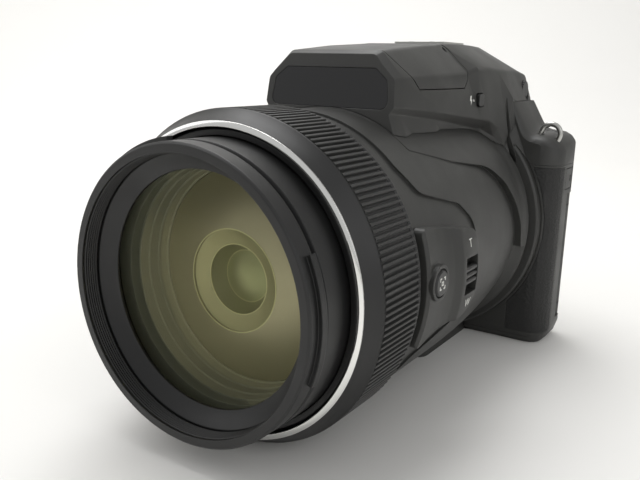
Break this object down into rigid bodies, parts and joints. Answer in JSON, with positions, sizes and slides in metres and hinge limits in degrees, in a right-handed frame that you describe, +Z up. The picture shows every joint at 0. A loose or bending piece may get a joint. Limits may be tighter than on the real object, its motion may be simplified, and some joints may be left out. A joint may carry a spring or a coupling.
{
  "type": "bridge camera",
  "caption": "Large superzoom bridge camera: telescoping lens barrel with ribbed control ring, hand grip, pop-up flash hump, eyecup and fold-out monitor.",
  "frame": {"origin": "centre of the tripod socket's mouth in the flat base", "axes": "+Y backwards along the lens axis, so the lens looks along -Y; +Z up; +X towards the user's left, with the grip on -X"},
  "size_m": [0.1479, 0.187, 0.1189],
  "materials": {
    "matte_black_plastic": "fine moulded grain",
    "lens_black_plastic": "satin moulded",
    "rubber_skin": "leather grain",
    "gloss_black": "polished",
    "chrome_trim": "polished",
    "steel": "satin",
    "coated_glass": "coated",
    "dark_glass": "polished",
    "flash_diffuser": "prismatic",
    "board": "satin",
    "battery_case": "satin"
  },
  "bodies": {
    "camera_body": {"front_cover": "matte_black_plastic", "rear_cover": "matte_black_plastic", "top_cover": "matte_black_plastic", "base_plate": "matte_black_plastic", "grip_rubber": "rubber_skin", "side_rubber": "rubber_skin", "thumb_rest": "rubber_skin", "viewfinder_housing": "matte_black_plastic", "name_plate": "gloss_black", "barrel_housing": "matte_black_plastic", "lens_sleeve": "lens_black_plastic", "front_cone_ring": "lens_black_plastic", "chrome_ring": "chrome_trim", "rear_index_ring": "lens_black_plastic", "rear_lens_group": "lens_black_plastic", "sensor_board": "board", "tripod_socket": "steel", "side_zoom_pod": "matte_black_plastic", "flash_hinge_pin": "steel", "hot_shoe": "steel", "eyecup": "rubber_skin", "eyepiece_lens": "dark_glass", "battery": "battery_case", "strap_eyelets": "steel"},
    "zoom_middle": {"zoom_tube_middle": "lens_black_plastic", "zoom_lens_group": "lens_black_plastic"},
    "zoom_front": {"zoom_tube_front": "lens_black_plastic", "filter_ring": "lens_black_plastic", "retaining_ring": "lens_black_plastic", "front_lens": "coated_glass", "baffle_cell": "lens_black_plastic", "inner_lens": "coated_glass"},
    "flash_unit": {"flash_housing": "matte_black_plastic", "flash_window": "flash_diffuser"},
    "monitor": {"monitor_hinge_block": "matte_black_plastic", "monitor_housing": "matte_black_plastic", "monitor_screen": "dark_glass"},
    "control_ring_body": {"control_ring": "lens_black_plastic"},
    "zoom_lever_body": {"zoom_lever": "matte_black_plastic"},
    "shutter_button_body": {"shutter_button": "matte_black_plastic"},
    "fn_button_body": {"fn_button": "matte_black_plastic"},
    "power_button_body": {"power_button": "matte_black_plastic"},
    "mode_dial_body": {"mode_dial": "matte_black_plastic"},
    "command_dial_body": {"command_dial": "matte_black_plastic"},
    "flash_button_body": {"flash_button": "matte_black_plastic"},
    "snap_back_button_body": {"snap_back_button": "matte_black_plastic"},
    "side_zoom_slider_body": {"side_zoom_slider": "matte_black_plastic"},
    "diopter_knob_body": {"diopter_knob": "matte_black_plastic"},
    "movie_button_body": {"movie_button": "matte_black_plastic"},
    "playback_button_body": {"playback_button": "matte_black_plastic"},
    "menu_button_body": {"menu_button": "matte_black_plastic"},
    "delete_button_body": {"delete_button": "matte_black_plastic"},
    "display_button_body": {"display_button": "matte_black_plastic"},
    "monitor_button_body": {"monitor_button": "matte_black_plastic"},
    "focus_selector_body": {"focus_selector": "matte_black_plastic"},
    "ae_lock_button_body": {"ae_lock_button": "matte_black_plastic"},
    "multi_selector_body": {"multi_selector": "matte_black_plastic"},
    "ok_button_body": {"ok_button": "matte_black_plastic"},
    "battery_door_body": {"battery_door": "matte_black_plastic"},
    "connector_cover_body": {"connector_cover": "matte_black_plastic"}
  },
  "joints": [
    {"name": "zoom_middle_slide", "type": "slide", "parent": "camera_body", "child": "zoom_middle", "axis": [0, -1, 0], "range_m": [-0.0035, 0.05]},
    {"name": "zoom_front_slide", "type": "slide", "parent": "zoom_middle", "child": "zoom_front", "axis": [0, -1, 0], "range_m": [-0.0035, 0.05]},
    {"name": "control_ring_turn", "type": "hinge", "parent": "camera_body", "child": "control_ring_body", "pos_m": [0, -0.092, 0.049], "axis": [0, 1, 0], "continuous": true},
    {"name": "zoom_lever_turn", "type": "hinge", "parent": "camera_body", "child": "zoom_lever_body", "pos_m": [-0.075, -0.01032, 0.08282], "axis": [0, -0.2588, 0.9659], "range_deg": [-20, 20], "stiffness_Nm_per_rad": 0.05},
    {"name": "shutter_press", "type": "slide", "parent": "camera_body", "child": "shutter_button_body", "axis": [0, 0.2588, -0.9659], "range_m": [0, 0.0012], "stiffness_N_per_m": 400},
    {"name": "fn_press", "type": "slide", "parent": "camera_body", "child": "fn_button_body", "axis": [0, 0.2588, -0.9659], "range_m": [0, 0.0006], "stiffness_N_per_m": 400},
    {"name": "power_press", "type": "slide", "parent": "camera_body", "child": "power_button_body", "axis": [0, 0.2588, -0.9659], "range_m": [0, 0.0006], "stiffness_N_per_m": 400},
    {"name": "mode_dial_turn", "type": "hinge", "parent": "camera_body", "child": "mode_dial_body", "pos_m": [-0.053, 0.03, 0.088], "axis": [0, 0, 1], "continuous": true},
    {"name": "command_dial_turn", "type": "hinge", "parent": "camera_body", "child": "command_dial_body", "pos_m": [-0.0755, 0.035, 0.088], "axis": [0, 0, 1], "continuous": true},
    {"name": "flash_lift", "type": "hinge", "parent": "camera_body", "child": "flash_unit", "pos_m": [0, -0.0094, 0.1154], "axis": [-1, 0, 0], "range_deg": [0, 60]},
    {"name": "flash_button_press", "type": "slide", "parent": "camera_body", "child": "flash_button_body", "axis": [-1, 0, 0], "range_m": [0, 0.0006], "stiffness_N_per_m": 400},
    {"name": "snap_back_press", "type": "slide", "parent": "camera_body", "child": "snap_back_button_body", "axis": [-1, 0, 0], "range_m": [0, 0.0006], "stiffness_N_per_m": 400},
    {"name": "side_zoom_slide", "type": "slide", "parent": "camera_body", "child": "side_zoom_slider_body", "axis": [0, 0, 1], "range_m": [-0.0025, 0.0025], "stiffness_N_per_m": 300},
    {"name": "monitor_swing", "type": "hinge", "parent": "camera_body", "child": "monitor", "pos_m": [0.049, 0.0451, 0], "axis": [0, 0, -1], "range_deg": [0, 175]},
    {"name": "movie_press", "type": "slide", "parent": "camera_body", "child": "movie_button_body", "axis": [0, -1, 0], "range_m": [0, 0.0006], "stiffness_N_per_m": 400},
    {"name": "playback_press", "type": "slide", "parent": "camera_body", "child": "playback_button_body", "axis": [0, -1, 0], "range_m": [0, 0.0006], "stiffness_N_per_m": 400},
    {"name": "menu_press", "type": "slide", "parent": "camera_body", "child": "menu_button_body", "axis": [0, -1, 0], "range_m": [0, 0.0006], "stiffness_N_per_m": 400},
    {"name": "delete_press", "type": "slide", "parent": "camera_body", "child": "delete_button_body", "axis": [0, -1, 0], "range_m": [0, 0.0006], "stiffness_N_per_m": 400},
    {"name": "display_press", "type": "slide", "parent": "camera_body", "child": "display_button_body", "axis": [0, -1, 0], "range_m": [0, 0.0006], "stiffness_N_per_m": 400},
    {"name": "monitor_key_press", "type": "slide", "parent": "camera_body", "child": "monitor_button_body", "axis": [0, -1, 0], "range_m": [0, 0.0006], "stiffness_N_per_m": 400},
    {"name": "focus_selector_turn", "type": "hinge", "parent": "camera_body", "child": "focus_selector_body", "pos_m": [-0.06, 0.048, 0.06], "axis": [0, 1, 0], "range_deg": [-25, 25]},
    {"name": "ae_lock_press", "type": "slide", "parent": "camera_body", "child": "ae_lock_button_body", "axis": [0, -1, 0], "range_m": [0, 0.0006], "stiffness_N_per_m": 400},
    {"name": "multi_selector_turn", "type": "hinge", "parent": "camera_body", "child": "multi_selector_body", "pos_m": [-0.06, 0.048, 0.035], "axis": [0, 1, 0], "continuous": true},
    {"name": "ok_press", "type": "slide", "parent": "camera_body", "child": "ok_button_body", "axis": [0, -1, 0], "range_m": [0, 0.0006], "stiffness_N_per_m": 400},
    {"name": "diopter_turn", "type": "hinge", "parent": "camera_body", "child": "diopter_knob_body", "pos_m": [0.0306, 0.044, 0.101], "axis": [1, 0, 0], "range_deg": [-120, 120]},
    {"name": "battery_door_swing", "type": "hinge", "parent": "camera_body", "child": "battery_door_body", "pos_m": [0, 0.017, 0.0015], "axis": [1, 0, 0], "range_deg": [0, 85]},
    {"name": "connector_cover_swing", "type": "hinge", "parent": "camera_body", "child": "connector_cover_body", "pos_m": [0.0531, 0.0426, 0.067], "axis": [0, 0, 1], "range_deg": [0, 95]}
  ],
  "couplings": [
    {"joint": "zoom_front_slide", "follows": "zoom_middle_slide", "ratio": 1}
  ]
}
